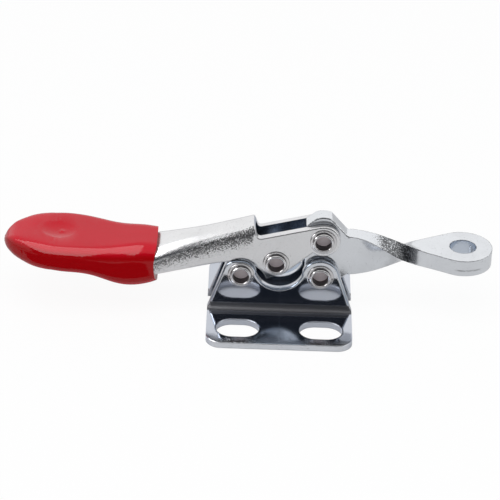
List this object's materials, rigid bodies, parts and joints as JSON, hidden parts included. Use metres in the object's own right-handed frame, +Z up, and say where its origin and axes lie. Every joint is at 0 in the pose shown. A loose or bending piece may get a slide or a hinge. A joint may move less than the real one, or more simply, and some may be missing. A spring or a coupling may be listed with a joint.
{
  "type": "toggle clamp",
  "caption": "Small toggle clamp: a lever with a moulded grip works an over-centre link that swings a twisted clamp arm on a flanged base with slots.",
  "frame": {"origin": "centre of the four mounting slots, on the underside of the base", "axes": "+X towards the tip of the clamp arm, -X towards the grip, +Z up out of the mounting surface; the clamp is locked shut at rest"},
  "size_m": [0.0871, 0.0288, 0.0197],
  "materials": {
    "zinc_base": "bright polished zinc plate",
    "zinc_lever": "tumbled zinc plate, slightly grainy",
    "zinc_arm": "satin zinc plate",
    "zinc_link": "satin zinc plate",
    "rivet": "bright plated",
    "red_grip": "glossy red vinyl"
  },
  "bodies": {
    "base": {"base_plate_near": "zinc_base", "base_plate_far": "zinc_base", "rear_base_rivet": "rivet", "front_base_rivet": "rivet"},
    "arm": {"clamp_arm": "zinc_arm"},
    "handle": {"handle_lever": "zinc_lever", "grip": "red_grip", "arm_rivet": "rivet", "link_rivet": "rivet"},
    "link": {"link_plate_near": "zinc_link", "link_plate_far": "zinc_link"}
  },
  "joints": [
    {"name": "arm_pivot", "type": "hinge", "parent": "base", "child": "arm", "pos_m": [0.0071, 0, 0.00825], "axis": [0, -1, 0], "range_deg": [0, 85]},
    {"name": "handle_pivot", "type": "hinge", "parent": "arm", "child": "handle", "pos_m": [0.00735, 0, 0.01555], "axis": [0, -1, 0], "range_deg": [-152.43, 0]},
    {"name": "link_pivot", "type": "hinge", "parent": "handle", "child": "link", "pos_m": [-0.0009, 0, 0.01085], "axis": [0, -1, 0], "range_deg": [0, 139.43]}
  ],
  "couplings": [
    {"joint": "handle_pivot", "follows": "arm_pivot", "ratio": -1.7933},
    {"joint": "link_pivot", "follows": "arm_pivot", "ratio": 1.6404}
  ]
}
